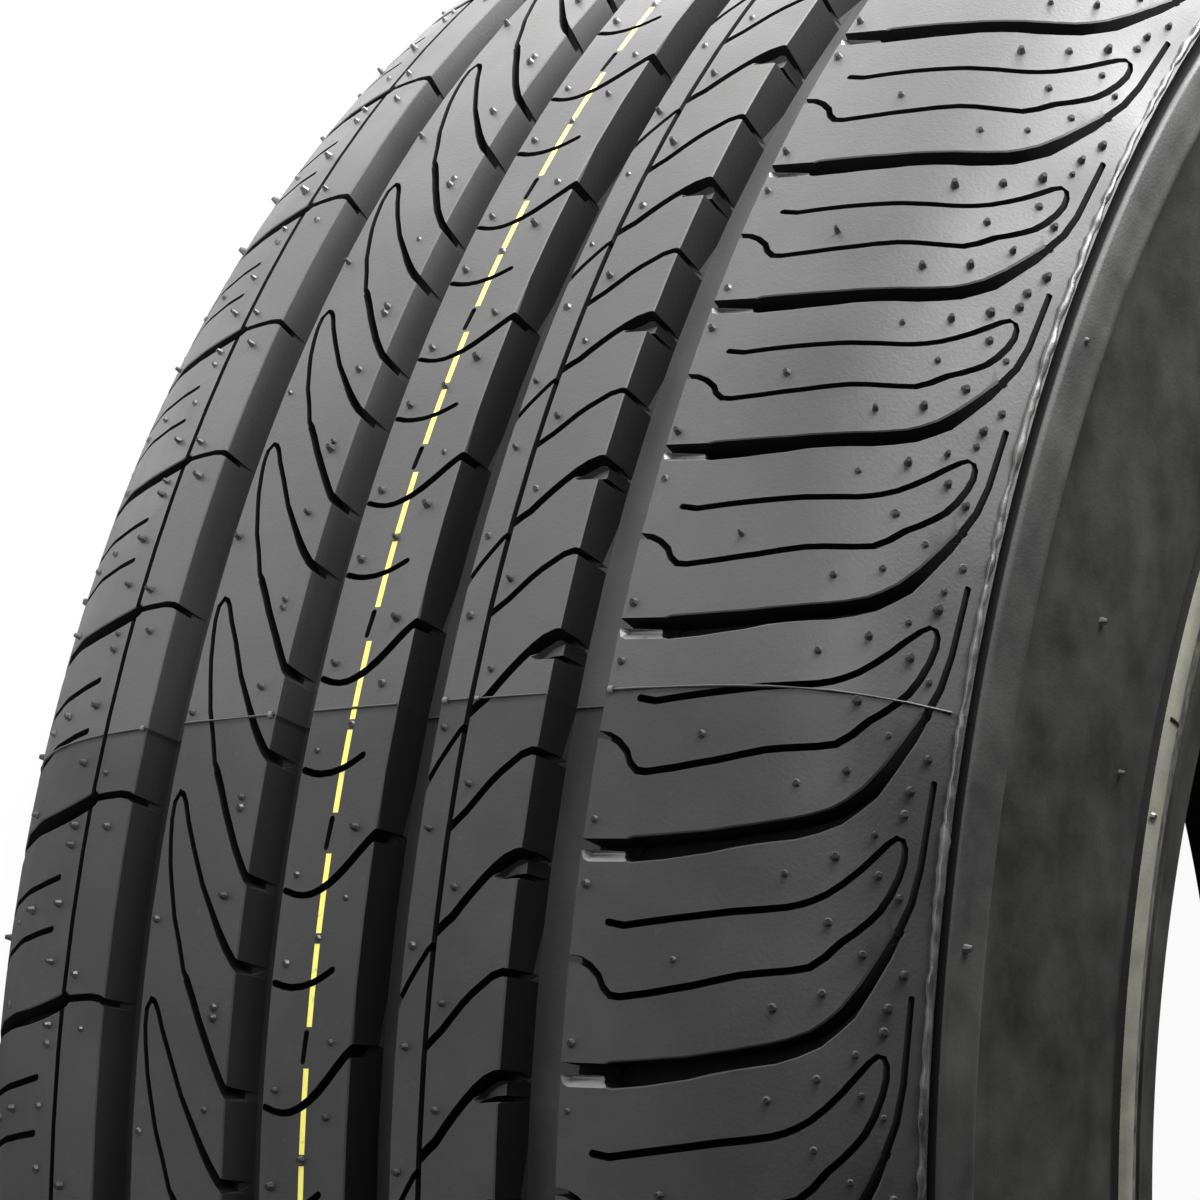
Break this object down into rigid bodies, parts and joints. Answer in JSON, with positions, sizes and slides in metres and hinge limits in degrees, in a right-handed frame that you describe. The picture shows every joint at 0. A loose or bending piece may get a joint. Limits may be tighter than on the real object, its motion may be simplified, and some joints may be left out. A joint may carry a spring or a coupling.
{
  "type": "car tyre",
  "caption": "Road tyre for a passenger car, with straight main grooves, curved shoulder grooves and slanted cross grooves.",
  "frame": {"origin": "centre of the tyre, on its spin axis and midway between its two sidewalls", "axes": "+Z along the spin axis towards the outer sidewall, the one with the wide shoulder in the picture; the tyre lies on its inner sidewall"},
  "size_m": [0.654, 0.654, 0.233],
  "materials": {
    "tyre_rubber": "satin black rubber, tread face slightly glossy, sidewall matt"
  },
  "bodies": {
    "root": {"tyre": "tyre_rubber"}
  },
  "joints": []
}
